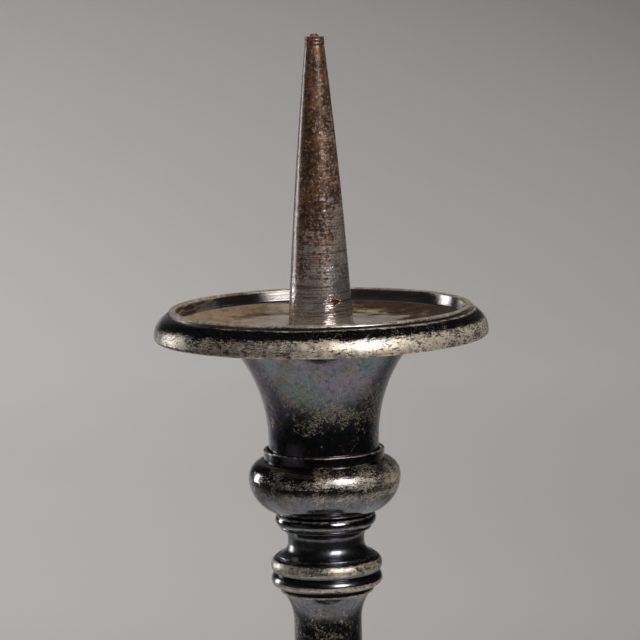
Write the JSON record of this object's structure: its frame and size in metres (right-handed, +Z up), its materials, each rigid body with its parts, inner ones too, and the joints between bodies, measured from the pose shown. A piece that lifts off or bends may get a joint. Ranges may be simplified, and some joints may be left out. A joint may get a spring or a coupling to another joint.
{
  "type": "pricket candle stand",
  "caption": "Turned candle stand of dark worn silvered brass: baluster stem on a domed round base, flared cup, loose moulded drip pan and a tapered iron spike that a candle is pushed on to.",
  "frame": {"origin": "centre of the base's resting plane", "axes": "+Z up along the stand's turning axis, towards the pricket's tip; it is round, so X and Y are free"},
  "size_m": [0.15, 0.15, 0.4199],
  "materials": {
    "spike_iron": "turned iron, brown and mottled with old rust, worn smooth at the foot",
    "pan_silver": "silvered brass, grey in the middle, brown residue round it, dark polished wall",
    "rim_silver": "silvered brass, tarnish rubbed through to pale warm metal on the high parts",
    "dark_silver": "silvered brass, nearly black glossy tarnish with a faint blue sheen and fine scratches",
    "rod_iron": "plain dark iron"
  },
  "bodies": {
    "stand": {"pricket": "spike_iron", "cup": "dark_silver", "cup_plate": "rod_iron", "cup_collar": "dark_silver", "bulb_knop": "dark_silver", "astragal_ring": "dark_silver", "neck_spool": "dark_silver", "upper_torus_ring": "rim_silver", "lower_torus_ring": "rim_silver", "shaft": "dark_silver", "shaft_foot_ring": "rim_silver", "lower_knop": "dark_silver", "lower_spool": "dark_silver", "base_collar_ring": "rim_silver", "base_trumpet": "dark_silver", "base_dome": "dark_silver", "base_foot_ring": "rim_silver", "tie_rod": "rod_iron", "base_washer": "rod_iron", "base_nut": "rod_iron"},
    "drip_pan": {"drip_pan_dish": "pan_silver", "drip_pan_rim": "rim_silver"}
  },
  "joints": [
    {"name": "pan_lift", "type": "slide", "parent": "stand", "child": "drip_pan", "axis": [0, 0, 1], "range_m": [0, 0.11]}
  ]
}
